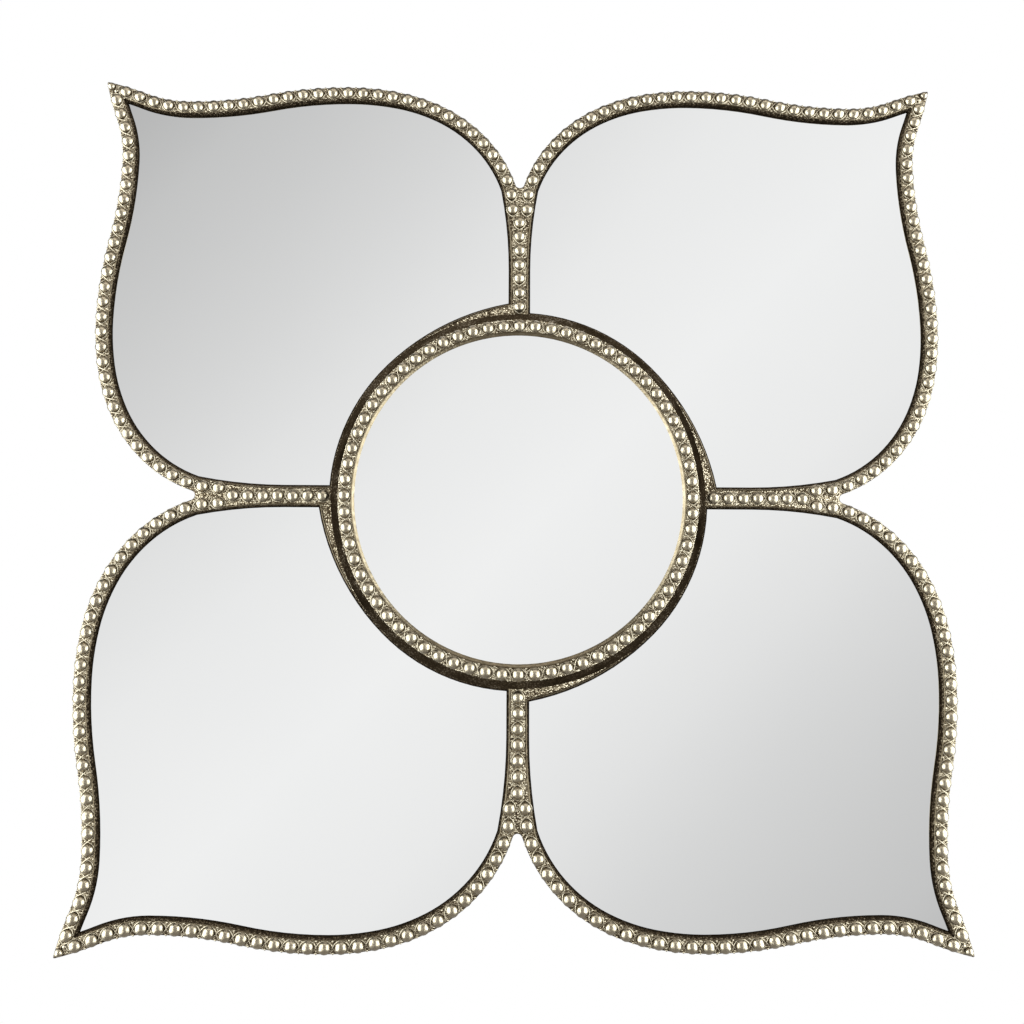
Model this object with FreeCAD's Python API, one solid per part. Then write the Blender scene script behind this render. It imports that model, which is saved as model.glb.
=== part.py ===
import FreeCAD, Part
import math
import os

# A wall mirror in the shape of a flower: four leaf-shaped petal mirrors round a raised
# round mirror, in a wooden frame whose front is faced with beaded metal.
# Lengths are in millimetres and angles in degrees.
# Pieces are drawn flat, as seen from the front: x to the right, y up, and z the distance
# in front of the wall. They are then stood up, so that the wall is the plane Y = 0, the
# front faces -Y and Z is up. The origin is on the wall, behind the flower's middle.

# Whole flower
flower_width = 914.0            # tip to tip, along one side
half_width = flower_width / 2

# Outline of an eighth of the flower, from the notch between two petals to a petal's tip.
# Its places are shares of the half width, and it is level at its crest and its saddle.
notch_share = 0.742
shoulder_shares = (0.185, 0.944)
crest_shares = (0.411, 0.9915)
saddle_shares = (0.802, 0.951)
notch_flank_angle = 71.0
shoulder_angle = 26.0
tip_angle = 13.0
notch_round = 5.0               # radius of the rounded bottom of the notch

# Borders of the petal mirrors, measured at the glass
rim_width = 16.5                # from the outline to the visible glass
stem_width = 23.5               # bar between two petals
stem_straight_share = 0.54      # of the half width: there the bar begins to flare
hub_ear_share = 1.25            # of the hub radius: wider arc round each of the hub's ears
wall_slope = 3.2                # the facing's inner walls lean back by this much

# Layers, from the wall to the front
bumper_height = 6.0
core_thickness = 15.0
back_recess = 2.0               # the petals' backs lie this deep in the core
back_thickness = 3.0
glass_thickness = 3.0
facing_thickness = 6.0
riser_thickness = 6.0           # wooden disc that lifts the middle mirror
ring_lip_thickness = 3.0        # of the ring's facing, in front of the middle mirror
core_back = bumper_height
core_front = core_back + core_thickness
petal_back_back = core_back + back_recess
petal_filler_back = petal_back_back + back_thickness
petal_glass_back = core_front - glass_thickness
facing_front = core_front + facing_thickness
ring_back = facing_front + riser_thickness
ring_lip_back = ring_back + glass_thickness
ring_front = ring_lip_back + ring_lip_thickness

# Beads raised from the facing
bead_sides = 7
bead_radius = 6.8
bead_rise = 5.6
bead_pitch = 16.8
bead_inset = 6.8                # from the outline to the middle of the row
row_start = 8.0                 # from the fork's seam to a row's first bead
row_end = 24.0                  # from the tip to a row's last bead
# Pairs in the stem's fork, as shares of the pitch: off its axis, and below the notch's bottom
pair_shares = ((0.55, 0.48), (0.47, 1.48))
stem_row_end = 40.0             # from the bottom of the notch to the stem's single row
tip_bead_radius = 4.5
tip_bead_rise = 4.4
tip_bead_distance = 9.2         # from a petal's tip to the small bead in it

# Raised ring round the middle mirror
ring_sight_radius = 171.0
ring_lip_slope = 3.2            # the inner lip of the ring's facing leans back by this much
ring_width = 17.5               # of its facing, from the visible glass to the front's edge
ring_wall_run = 8.3             # the ring's outer wall widens by this much down to its foot
ring_bead_radius = 6.8
ring_bead_inset = 7.5           # from the front's edge to the middle of the row
ring_front_radius = ring_sight_radius + ring_width
ring_foot_radius = ring_front_radius + ring_wall_run
ring_bead_circle = ring_front_radius - ring_bead_inset
ring_bead_count = round(2 * math.pi * ring_bead_circle / bead_pitch)
hub_radius = ring_foot_radius + wall_slope      # inner end of the petal mirrors

# Glass and what lies behind it. The facing's lip hides the edges of the petals' glass,
# which is cut to the curve in short straight cuts, as is the opening behind it.
lip_overlap = 6.0               # the facing covers this much of a petal glass's edge
glass_gap = 1.0                 # between the edge of the glass and what is round it
longest_cut = 70.0
ring_lip_overlap = 5.0          # the ring's lip covers this much of the middle mirror
centre_glass_sides = 34         # straight cuts round the middle mirror's hidden edge
filler_inset = 10.0             # from the visible glass's edge to the corners of the board behind
# Stretches of the opening, counted from the stem, at whose start that board has a corner
filler_edges = (0, 2, 4, 8, 10, 12, 16, 18, 20, 21)

# Bumpers, glazing points and screws
bumper_sides = 12
bumper_radius = 5.0
bumper_tip_radius = 4.0
bumper_distance = 12.0          # from the tip, along the petal's axis
point_width = 8.0
point_length = 11.0
point_thickness = 0.8
point_bite = 4.0                # how far a glazing point is driven into the wood
point_edges = (4, 8, 11, 15)    # stretches of the opening, counted from the stem, that hold one
screw_sides = 6
screw_head_radius = 3.2
screw_head_height = 2.0
screw_shank_radius = 1.5
screw_point_share = 0.75        # of the screw's length: there its point begins
ring_screw_length = 24.0
ring_screw_inset = 16.5         # from the ring's front edge
ring_screw_count = 8
hanger_screw_length = 12.0

# Two ring hangers on the back of the hub
hanger_shares = (0.56, 0.65)    # of the hub's radius: from its middle aside and up to a hinge
strap_width = 12.0
strap_length = 42.0
strap_thickness = 1.2
strap_screw_shares = (0.51, 0.82)   # of the strap's length, below the hinge
loop_sides = 12
wire_radius = 1.3
wire_sides = 6
hinge_clearance = 0.08          # between the ring's bar and the strap's loop
ring_half_width = 11.3
ring_drop = 15.0                # from the hinge to the far side of the hanging ring
ring_rest_tilt = 3.0            # a hanging ring leans off its strap by this angle
hanger_spread, hanger_height = [share * hub_radius for share in hanger_shares]
loop_radius = wire_radius + hinge_clearance + strap_thickness
hinge_depth = core_back - loop_radius

petal_names = ("upper_right", "lower_right", "lower_left", "upper_left")


# Places and arcs

def point(x, y, z=0.0):
    return FreeCAD.Vector(x, y, z)


def direction(angle):
    return point(math.cos(angle), math.sin(angle))


def across_petal(place):
    """The place mirrored in the petal's axis."""
    return point(place.y, place.x, place.z)


def across_stem(place):
    """The place mirrored in the upright stem's axis."""
    return point(-place.x, place.y, place.z)


def arc_towards(start, heading, end):
    """Arc that leaves start along heading and ends at end: centre, radius, angle, sweep."""
    chord = end.sub(start)
    turn = math.atan2(chord.y, chord.x) - heading
    radius = chord.Length / abs(2 * math.sin(turn))
    side = math.copysign(math.pi / 2, turn)
    centre = start.add(direction(heading + side).multiply(radius))
    return centre, radius, heading - side, 2 * turn


def on_arc(arc, share):
    centre, radius, angle, sweep = arc
    return centre.add(direction(angle + sweep * share).multiply(radius))


def arc_length(arc):
    return arc[1] * abs(arc[3])


def two_arcs(start, heading, end, end_heading):
    """Two tangent arcs that leave start and reach end along the given headings."""
    out = direction(heading)
    back = direction(end_heading)
    span = end.sub(start)
    turned_share = 2 * (1 - out.dot(back))
    pull = 2 * span.dot(out.add(back))
    reach = span.dot(span)
    arm = 2 * reach / (pull + math.sqrt(pull ** 2 + 4 * turned_share * reach))
    joint = start.add(end).add(out.sub(back).multiply(arm)).multiply(0.5)
    first = arc_towards(start, heading, joint)
    return [first, arc_towards(joint, heading + first[3], end)]


def moved_in(arc, distance):
    """The arc moved towards the inside of the flower."""
    centre, radius, angle, sweep = arc
    return centre, radius + math.copysign(distance, sweep), angle, sweep


def cut_at_axis(arc):
    """The arc cut or lengthened to end on the petal's axis, where x equals y."""
    centre, radius, angle, sweep = arc
    opening = math.acos((centre.y - centre.x) / (radius * math.sqrt(2)))
    ends = [sign * opening - math.pi / 4 + turn
            for sign in (-1, 1) for turn in (-2 * math.pi, 0, 2 * math.pi)]
    end = min(ends, key=lambda candidate: abs(candidate - angle - sweep))
    return centre, radius, angle, end - angle


# Outline of the flower

def notch_arc():
    """Half of the rounded notch, from the stem's axis to the petal's shoulder."""
    centre = point(0, notch_share * half_width + notch_round)
    return centre, notch_round, -math.pi / 2, math.radians(notch_flank_angle)


def outline_arcs():
    """Outline from the end of the notch to the petal's tip."""
    flank = math.radians(notch_flank_angle)
    slope = math.radians(shoulder_angle)
    shoulder = point(*shoulder_shares).multiply(half_width)
    crest = point(*crest_shares).multiply(half_width)
    saddle = point(*saddle_shares).multiply(half_width)
    tip = point(half_width, half_width)
    arcs = two_arcs(on_arc(notch_arc(), 1), flank, shoulder, slope)
    arcs += two_arcs(shoulder, slope, crest, 0)
    arcs += two_arcs(crest, 0, saddle, 0)
    return arcs + two_arcs(saddle, 0, tip, math.radians(tip_angle))


def rim_arcs(distance):
    """The outline moved in by a distance, from the shoulder to the petal's axis."""
    arcs = [moved_in(arc, distance) for arc in outline_arcs()]
    return arcs[:-1] + [cut_at_axis(arcs[-1])]


# Edges, wires and blocks

def segment(start, end):
    return Part.LineSegment(start, end).toShape()


def along_arcs(arcs, distance):
    """The place that a walk of the given length along the arcs comes to."""
    for arc in arcs:
        length = arc_length(arc)
        if distance <= length:
            break
        distance -= length
    return on_arc(arc, distance / length)


def edges_of(arcs):
    return [Part.Arc(*[on_arc(arc, share) for share in (0, 0.5, 1)]).toShape() for arc in arcs]


def reflected(edges, flip):
    """Arcs mirrored, in the order in which a walk on from their end meets them."""
    copies = []
    for edge in reversed(edges):
        first, last = edge.ParameterRange
        places = [flip(edge.valueAt(value)) for value in (last, (first + last) / 2, first)]
        copies.append(Part.Arc(*places).toShape())
    return copies


def turned(shape, quarters):
    """The shape turned clockwise round the flower's middle, by quarters of a turn."""
    copy = shape.copy()
    copy.rotate(point(0, 0), point(0, 0, 1), -90 * quarters)
    return copy


def moved(shape, place):
    copy = shape.copy()
    copy.translate(place)
    return copy


def slab(wire, low, high):
    """Plate with the outline of a wire, between two distances from the wall."""
    return moved(Part.Face(wire).extrude(point(0, 0, high - low)), point(0, 0, low))


def facing_block(wire_of):
    """Block of the facing, whose inner walls lean back from the glass to the front."""
    foot = moved(wire_of(0), point(0, 0, core_front))
    brow = moved(wire_of(wall_slope), point(0, 0, facing_front))
    return Part.makeLoft([foot, brow], True, True)


def turning(profile):
    """Solid turned round the z axis from pairs of radius and height."""
    corners = [point(radius, 0, height) for radius, height in profile]
    outline = Part.Face(Part.makePolygon(corners + corners[:1]))
    return outline.revolve(point(0, 0), point(0, 0, 1), 360)


def faceted_turning(profile, sides):
    """Small turned form with flat facets, from pairs of radius and height."""
    rings = []
    for radius, height in profile:
        count = sides if radius else 1
        rings.append([direction(2 * math.pi * index / sides).multiply(radius).add(point(0, 0, height))
                      for index in range(count)])
    loops = [ring for ring in (rings[0], rings[-1]) if len(ring) > 1]
    for lower, upper in zip(rings, rings[1:]):
        for index in range(sides):
            after = (index + 1) % sides
            top = [upper[after], upper[index]] if len(upper) > 1 else upper
            loops.append([lower[index], lower[after]] + top)
    faces = [Part.Face(Part.makePolygon(loop + loop[:1])) for loop in loops]
    solid = Part.Solid(Part.Shell(faces))
    return solid if solid.Volume > 0 else solid.reversed()


# Outlines of the pieces, seen from the front

def flower_wire():
    """Outline of the whole flower."""
    half_petal = edges_of([notch_arc()] + outline_arcs())
    petal = half_petal + reflected(half_petal, across_petal)
    return Part.Wire([turned(edge, quarters) for quarters in range(4) for edge in petal])


def flare_arc(grow):
    """Side of the stem, from where it begins to flare to the end of its fork."""
    bend = point(stem_width / 2 - grow, stem_straight_share * half_width)
    fork = on_arc(moved_in(notch_arc(), rim_width - grow), 1)
    return arc_towards(bend, math.pi / 2, fork)


def hub_arcs(grow):
    """Inner end of a petal mirror: an arc round the hub's ear, then the hub's own arc."""
    hub = hub_radius - grow
    half_stem = stem_width / 2 - grow
    ear_radius = hub * hub_ear_share
    ear_centre = direction(math.pi / 4).multiply(hub - ear_radius)
    start = math.asin((half_stem - ear_centre.y) / ear_radius)
    end = math.acos(half_stem / hub)
    return [(ear_centre, ear_radius, start, math.pi / 4 - start),
            (point(0, 0), hub, math.pi / 4, end - math.pi / 4)]


def opening_edges(grow):
    """Edge of a petal's visible glass, grown outwards by a distance."""
    hub = hub_arcs(grow)
    flare = flare_arc(grow)
    bend = on_arc(flare, 0)
    half = edges_of([flare] + rim_arcs(rim_width - grow))
    edges = [segment(on_arc(hub[1], 1), bend)] + half + reflected(half, across_petal)
    edges += [segment(across_petal(bend), on_arc(hub[0], 0))]
    return edges + edges_of(hub)


def opening_wire(grow):
    return Part.Wire(opening_edges(grow))


def cut_wire(grow):
    """The grown opening followed in straight cuts."""
    cuts = [math.ceil(edge.Length / longest_cut) for edge in opening_edges(0)]
    corners = []
    for edge, count in zip(opening_edges(grow), cuts):
        corners += edge.discretize(Number=count + 1)[:-1]
    return Part.makePolygon(corners + corners[:1])


def petal_facing_wire(grow):
    """Band between a petal's outline and its glass, from fork to fork."""
    outer = outline_arcs()
    inner = rim_arcs(rim_width - grow)
    seam = segment(on_arc(inner[0], 0), on_arc(outer[0], 0))
    far_seam = segment(across_petal(on_arc(outer[0], 0)), across_petal(on_arc(inner[0], 0)))
    outside = edges_of(outer) + reflected(edges_of(outer), across_petal)
    inside = edges_of(inner) + reflected(edges_of(inner), across_petal)
    return Part.Wire([seam] + outside + [far_seam] + inside[::-1])


def stem_facing_wire(grow):
    """Upright stem from the foot of the ring to the notch, with its forked end."""
    flare = flare_arc(grow)
    bend = on_arc(flare, 0)
    foot = point(bend.x, math.sqrt(ring_foot_radius ** 2 - bend.x ** 2))
    fork = on_arc(flare, 1)
    shoulder = on_arc(notch_arc(), 1)
    notch = edges_of([notch_arc()])
    seat = Part.Arc(across_stem(foot), point(0, ring_foot_radius), foot).toShape()
    right = [segment(foot, bend)] + edges_of([flare]) + [segment(fork, shoulder)]
    left = [segment(across_stem(shoulder), across_stem(fork))]
    left += reflected(edges_of([flare]), across_stem)
    left += [segment(across_stem(bend), across_stem(foot))]
    return Part.Wire([seat] + right + notch + reflected(notch, across_stem) + left)


# Beads

def bead(radius, rise, place):
    return moved(faceted_turning(((radius, 0), (0, rise)), bead_sides), place)


def row_places():
    """Evenly spaced places along the rim, from the fork to the tip."""
    arcs = rim_arcs(bead_inset)
    overhang = bead_inset / math.tan(math.pi / 4 - math.radians(tip_angle))
    length = sum(arc_length(arc) for arc in arcs) - row_start - (row_end - overhang)
    count = round(length / bead_pitch) + 1
    return [along_arcs(arcs, row_start + length * index / (count - 1)) for index in range(count)]


def petal_beading():
    """Full beads along both sides of a petal, and a small one in its tip."""
    places = row_places()
    places += [across_petal(place) for place in places]
    beads = [bead(bead_radius, bead_rise, place.add(point(0, 0, facing_front))) for place in places]
    tip = point(half_width, half_width, facing_front)
    place = tip.add(direction(math.pi * 5 / 4) * tip_bead_distance)
    beads.append(bead(tip_bead_radius, tip_bead_rise, place))
    return Part.makeCompound(beads)


def stem_beading():
    """On each stem a single row, then two pairs on its fork."""
    notch_height = notch_share * half_width
    first = ring_foot_radius + bead_pitch / 2
    last = notch_height - stem_row_end
    count = round((last - first) / bead_pitch) + 1
    heights = [first + (last - first) * index / (count - 1) for index in range(count)]
    places = [point(0, height, facing_front) for height in heights]
    for spread_share, depth_share in pair_shares:
        for side in (-bead_pitch, bead_pitch):
            height = notch_height - bead_pitch * depth_share
            places.append(point(side * spread_share, height, facing_front))
    beads = [bead(bead_radius, bead_rise, place) for place in places]
    return Part.makeCompound([turned(one, quarters) for quarters in range(4) for one in beads])


def ring_beading():
    beads = []
    for index in range(ring_bead_count):
        place = direction(2 * math.pi * index / ring_bead_count) * ring_bead_circle
        beads.append(bead(ring_bead_radius, bead_rise, place.add(point(0, 0, ring_front))))
    return Part.makeCompound(beads)


# Frame and petal mirrors

def frame_core():
    """One wooden board cut to the flower, with an opening for each petal's glass."""
    core = slab(flower_wire(), core_back, core_front)
    opening = slab(cut_wire(lip_overlap + glass_gap), core_back, core_front)
    return core.cut([turned(opening, quarters) for quarters in range(4)])


def hub_facing():
    """Flange under the raised ring, in one piece with the four stems."""
    base = point(0, 0, core_front)
    flange = Part.makeCylinder(hub_radius + stem_width, facing_thickness, base)
    opening = facing_block(opening_wire)
    stem = facing_block(stem_facing_wire)
    flange = flange.cut([turned(opening, quarters) for quarters in range(4)])
    flange = flange.fuse([turned(stem, quarters) for quarters in range(4)])
    return flange.removeSplitter()


def petal_plate(low, high):
    """Plate that fits the opening behind a petal's lip."""
    return slab(cut_wire(lip_overlap), low, high)


def petal_filler():
    """Hand-cut board that keeps the glass pressed against the facing's lip."""
    edges = opening_edges(-filler_inset)
    corners = [edges[number].valueAt(edges[number].FirstParameter) for number in filler_edges]
    return slab(Part.makePolygon(corners + corners[:1]), petal_filler_back, petal_glass_back)


def glazing_points():
    """Thin pointed plates that hold the petals' backs, driven into the wood round them."""
    edges = opening_edges(lip_overlap + glass_gap)
    points = []
    for number in point_edges:
        edge = edges[number]
        middle = edge.valueAt(sum(edge.ParameterRange) / 2)
        along = edge.tangentAt(sum(edge.ParameterRange) / 2)
        outward = point(-along.y, along.x)
        start = middle.sub(outward * (point_length - point_bite))
        corners = [start.sub(along * (point_width / 2)), middle.add(outward * point_bite),
                   start.add(along * (point_width / 2))]
        outline = Part.makePolygon(corners + corners[:1])
        points.append(slab(outline, petal_back_back - point_thickness, petal_back_back))
    return Part.makeCompound([turned(one, quarters) for quarters in range(4) for one in points])


# Raised ring and middle mirror

def ring_wall_radius(height):
    """Radius of the ring's sloping outer wall, from its foot to its front edge."""
    share = (height - facing_front) / (ring_front - facing_front)
    return ring_foot_radius - ring_wall_run * share


def ring_riser():
    """Wooden disc that stands the middle mirror and its ring in front of the hub."""
    return turning(((0, facing_front), (ring_wall_radius(facing_front), facing_front),
                    (ring_wall_radius(ring_back), ring_back), (0, ring_back)))


def ring_facing():
    """Ring that holds the middle mirror behind its lip."""
    ring = turning(((ring_sight_radius, ring_back),
                    (ring_wall_radius(ring_back), ring_back),
                    (ring_front_radius, ring_front),
                    (ring_sight_radius + ring_lip_slope, ring_front),
                    (ring_sight_radius, ring_lip_back)))
    return ring.cut(centre_disc(ring_sight_radius + ring_lip_overlap + glass_gap))


def centre_disc(radius):
    """Disc of the middle mirror's thickness, cut round in short straight cuts."""
    profile = ((radius, ring_back), (radius, ring_lip_back))
    return faceted_turning(profile, centre_glass_sides)


# Bumpers and screws

def bumper():
    profile = ((bumper_tip_radius, 0), (bumper_radius, bumper_height))
    reach = half_width - bumper_distance / math.sqrt(2)
    return moved(faceted_turning(profile, bumper_sides), point(reach, reach))


def screw(length, head_profile):
    """Screw that points to the front, with its head at height 0."""
    profile = head_profile + ((screw_shank_radius, screw_head_height),
                              (screw_shank_radius, length * screw_point_share), (0, length))
    return faceted_turning(profile, screw_sides)


def ring_screws():
    """Sunk screws from the back of the hub into the riser."""
    step = 2 * math.pi / ring_screw_count
    screws = []
    for index in range(ring_screw_count):
        place = direction(step * (index + 0.5)) * (ring_front_radius - ring_screw_inset)
        sunk = screw(ring_screw_length, ((screw_head_radius, 0),))
        screws.append(moved(sunk, place.add(point(0, 0, core_back))))
    return Part.makeCompound(screws)


# Ring hangers

def hanger_place(side):
    return point(side * hanger_spread, hanger_height, hinge_depth)


def crosswise(shape):
    """The shape turned so that what stood along z lies along x."""
    copy = shape.copy()
    copy.rotate(point(0, 0), point(0, 1), 90)
    return copy


def hanger_strap(side):
    """Strap whose upper end is rolled round the ring's bar."""
    corner = point(-strap_width / 2, -strap_length, loop_radius - strap_thickness)
    strap = Part.makeBox(strap_width, strap_length, strap_thickness, corner)
    ends = (-strap_width / 2, strap_width / 2)
    loop = crosswise(faceted_turning([(loop_radius, end) for end in ends], loop_sides))
    bore = Part.makeCylinder(wire_radius + hinge_clearance, strap_width, point(0, 0, ends[0]))
    return moved(strap.fuse(loop).cut(crosswise(bore)), hanger_place(side))


def hanger_ring(side):
    """Wire ring: a round bar in the strap's loop, and three sides that hang from it."""
    bar = Part.makeCylinder(wire_radius, 2 * ring_half_width, point(0, 0, -ring_half_width))
    left = point(-ring_half_width, wire_radius)
    low_left = point(-ring_half_width, -ring_drop)
    turns = [left, low_left, across_stem(low_left), across_stem(left)]
    corners = []
    for index in range(wire_sides):
        offset = direction(2 * math.pi * index / wire_sides) * wire_radius
        corners.append(left.add(point(offset.x, 0, offset.y)))
    section = Part.makePolygon(corners + corners[:1])
    sides = Part.makePolygon(turns).makePipeShell([section], True, False, 1)
    ring = crosswise(bar).fuse(sides)
    ring.rotate(point(0, 0), point(1, 0), ring_rest_tilt)
    return moved(ring, hanger_place(side))


def hanger_screws():
    """Raised screws through the straps into the wood."""
    head_back = core_back - strap_thickness - screw_head_height
    head_profile = ((screw_head_radius, 0), (screw_head_radius, screw_head_height))
    screws = []
    for side in (-1, 1):
        for share in strap_screw_shares:
            height = hanger_height - strap_length * share
            place = point(side * hanger_spread, height, head_back)
            screws.append(moved(screw(hanger_screw_length, head_profile), place))
    return Part.makeCompound(screws)


# Every piece, by name

def all_pieces():
    pieces = {"frame_core": frame_core(), "hub_facing": hub_facing(), "stem_beading": stem_beading(),
              "ring_riser": ring_riser(), "ring_facing": ring_facing(), "ring_beading": ring_beading(),
              "centre_glass": centre_disc(ring_sight_radius + ring_lip_overlap),
              "glazing_points": glazing_points(),
              "ring_screws": ring_screws(), "hanger_screws": hanger_screws()}
    per_petal = {"petal_facing_": facing_block(petal_facing_wire),
                 "petal_beading_": petal_beading(),
                 "petal_glass_": petal_plate(petal_glass_back, core_front),
                 "petal_filler_": petal_filler(),
                 "petal_back_": petal_plate(petal_back_back, petal_filler_back),
                 "wall_bumper_": bumper()}
    for prefix, piece in per_petal.items():
        for quarters, name in enumerate(petal_names):
            pieces[prefix + name] = turned(piece, quarters)
    for side, name in ((-1, "left"), (1, "right")):
        pieces["hanger_strap_" + name] = hanger_strap(side)
        pieces["hanger_ring_" + name] = hanger_ring(side)
    return pieces


os.makedirs("parts", exist_ok=True)
for name, piece in all_pieces().items():
    piece.rotate(point(0, 0), point(1, 0), 90)
    piece.exportStep("parts/" + name + ".step")
    print(name, len(piece.Solids), "solids", round(piece.Volume / 1000, 1), "cm3", piece.isValid())
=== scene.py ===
import math
import random

import bmesh
import bpy
from mathutils import Euler, Matrix, Vector


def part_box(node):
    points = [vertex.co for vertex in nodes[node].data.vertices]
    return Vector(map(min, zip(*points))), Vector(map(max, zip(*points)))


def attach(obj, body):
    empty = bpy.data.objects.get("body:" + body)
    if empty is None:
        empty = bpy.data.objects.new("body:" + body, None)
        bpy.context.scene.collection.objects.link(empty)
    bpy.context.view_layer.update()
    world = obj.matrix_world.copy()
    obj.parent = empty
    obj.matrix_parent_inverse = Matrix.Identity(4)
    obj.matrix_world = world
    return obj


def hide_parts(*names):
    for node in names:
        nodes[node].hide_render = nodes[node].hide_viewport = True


# Flower wall mirror: the frame brings the construction, this script brings the looks.
# Metres, front faces -Y, Z is up, the wall is the plane Y = 0.

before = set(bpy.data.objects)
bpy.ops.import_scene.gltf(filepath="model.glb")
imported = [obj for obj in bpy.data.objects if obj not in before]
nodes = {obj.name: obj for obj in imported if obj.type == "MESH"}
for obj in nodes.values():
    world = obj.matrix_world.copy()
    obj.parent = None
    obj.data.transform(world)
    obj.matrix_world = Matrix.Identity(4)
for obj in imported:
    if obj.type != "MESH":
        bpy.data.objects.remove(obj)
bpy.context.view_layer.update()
petals = ["upper_right", "lower_right", "lower_left", "upper_left"]
random.seed(11)

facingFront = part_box("hub_facing")[0].y       # front of the petals' and stems' facing
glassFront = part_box("hub_facing")[1].y        # the facing stands on the wood and the glass

merging = {
    "nearest": 0.00001,         # points nearer than this are one
    "flattest": math.radians(0.6),
    "level": 0.9999,            # a normal's share along Y on a face that lies along the wall
}


def deselectAll():
    if bpy.context.object and bpy.context.object.mode != "OBJECT":
        bpy.ops.object.mode_set(mode="OBJECT")
    bpy.ops.object.select_all(action="DESELECT")


def makeActive(piece):
    deselectAll()
    piece.select_set(True)
    bpy.context.view_layer.objects.active = piece


def editing(piece):
    makeActive(piece)
    bpy.ops.object.mode_set(mode="EDIT")
    return bmesh.from_edit_mesh(piece.data)


def stopEditing():
    bpy.ops.object.mode_set(mode="OBJECT")


def copyOfNode(nodeName, pieceName):
    # a merged copy of a CAD node, with its flat faces made whole again
    piece = bpy.data.objects.new(pieceName, nodes[nodeName].data.copy())
    bpy.context.scene.collection.objects.link(piece)
    piece.data.materials.clear()
    editing(piece)
    bpy.ops.mesh.select_all(action="SELECT")
    bpy.ops.mesh.remove_doubles(threshold=merging["nearest"])
    bpy.ops.mesh.dissolve_limited(angle_limit=merging["flattest"])
    stopEditing()
    return piece


def joinPieces(pieces, name):
    deselectAll()
    for piece in pieces:
        piece.select_set(True)
    bpy.context.view_layer.objects.active = pieces[0]
    if len(pieces) > 1:
        bpy.ops.object.join()
    joined = bpy.context.view_layer.objects.active
    joined.name = name
    joined.data.name = name
    return joined


def smooth(piece, angle):
    # rounded edges shade smooth, and the faces that lie along the wall stay flat
    makeActive(piece)
    bpy.ops.object.shade_smooth_by_angle(angle=math.radians(angle))
    for face in piece.data.polygons:
        if abs(face.normal.y) > merging["level"]:
            face.use_smooth = False


def setWearAndShade(piece, value):
    # value is a number, or a function of a vertex place
    attributes = piece.data.attributes
    layer = attributes.get("wearAndShade") or attributes.new("wearAndShade", "FLOAT", "POINT")
    for vertex, item in zip(piece.data.vertices, layer.data):
        item.value = value(vertex.co) if callable(value) else value


def islandsOf(nodeName):
    # vertex places of each loose part of a CAD node
    shape = bmesh.new()
    shape.from_mesh(nodes[nodeName].data)
    bmesh.ops.remove_doubles(shape, verts=shape.verts, dist=merging["nearest"])
    islands, seen = [], set()
    for start in shape.verts:
        if start in seen:
            continue
        island, waiting = [], [start]
        seen.add(start)
        while waiting:
            vertex = waiting.pop()
            island.append(vertex.co.copy())
            for edge in vertex.link_edges:
                other = edge.other_vert(vertex)
                if other not in seen:
                    seen.add(other)
                    waiting.append(other)
        islands.append(island)
    shape.free()
    return islands


def raiseTiers(sides, tiers, way=-1, centre=(0, 0, 0)):
    # a disc raised along Y tier by tier, from pairs of radius and height
    deselectAll()
    bpy.ops.mesh.primitive_circle_add(vertices=sides, radius=tiers[0][0], fill_type="NGON",
                                      location=centre, rotation=(math.pi / 2, 0, 0))
    bpy.ops.object.transform_apply(location=True, rotation=True, scale=True)
    bpy.ops.object.mode_set(mode="EDIT")
    bpy.ops.mesh.select_all(action="SELECT")
    for (radiusBefore, heightBefore), (radius, height) in zip(tiers, tiers[1:]):
        step = (0, way * (height - heightBefore), 0)
        bpy.ops.mesh.extrude_region_move(TRANSFORM_OT_translate={"value": step})
        if radius:
            share = radius / radiusBefore
            level = (centre[0], centre[1] + way * height, centre[2])
            bpy.ops.transform.resize(value=(share, 1, share), center_override=level)
        else:
            bpy.ops.mesh.merge(type="CENTER")
    bpy.ops.mesh.select_all(action="SELECT")
    bpy.ops.mesh.normals_make_consistent(inside=False)
    stopEditing()
    return bpy.context.object


def copyTo(model, place, size=1.0):
    copy = model.copy()
    copy.data = model.data.copy()
    bpy.context.scene.collection.objects.link(copy)
    copy.data.transform(Matrix.Translation(place) @ Matrix.Scale(size, 4))
    return copy


def bevelWhere(piece, test, offset, segments=2):
    shape = editing(piece)
    bpy.ops.mesh.select_mode(type="EDGE")
    bpy.ops.mesh.select_all(action="DESELECT")
    found = False
    for edge in shape.edges:
        if len(edge.link_faces) == 2 and test(edge):
            edge.select_set(True)
            found = True
    if found:
        bpy.ops.mesh.bevel(offset=offset, segments=segments, affect="EDGES")
    stopEditing()


def isSharp(edge, least=math.radians(40)):
    return edge.calc_face_angle(0) > least


def isLevel(edge):
    # an edge that lies along the wall
    return abs(edge.verts[0].co.y - edge.verts[1].co.y) < merging["nearest"]


def onlyMaterial(piece, material):
    piece.data.materials.clear()
    piece.data.materials.append(material)


# pieces that the bright side cards shine on
polished = bpy.data.collections.new("polishedSilver")


def finishPiece(piece, body, slotName, *replaced):
    if slotName == "antique_silver":
        polished.objects.link(piece)
    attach(piece, body)
    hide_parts(*replaced)


def newMaterial(name, **sockets):
    material = bpy.data.materials.new(name)
    material.use_nodes = True
    shader = material.node_tree.nodes["Principled BSDF"]
    for socket, value in sockets.items():
        shader.inputs[socket.replace("_", " ")].default_value = value
    return material, material.node_tree, shader


def addNode(tree, kind, inputs=None, **settings):
    node = tree.nodes.new(kind)
    for key, value in settings.items():
        setattr(node, key, value)
    for key, value in (inputs or {}).items():
        if isinstance(value, bpy.types.NodeSocket):
            tree.links.new(value, node.inputs[key])
        else:
            node.inputs[key].default_value = value
    return node


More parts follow.
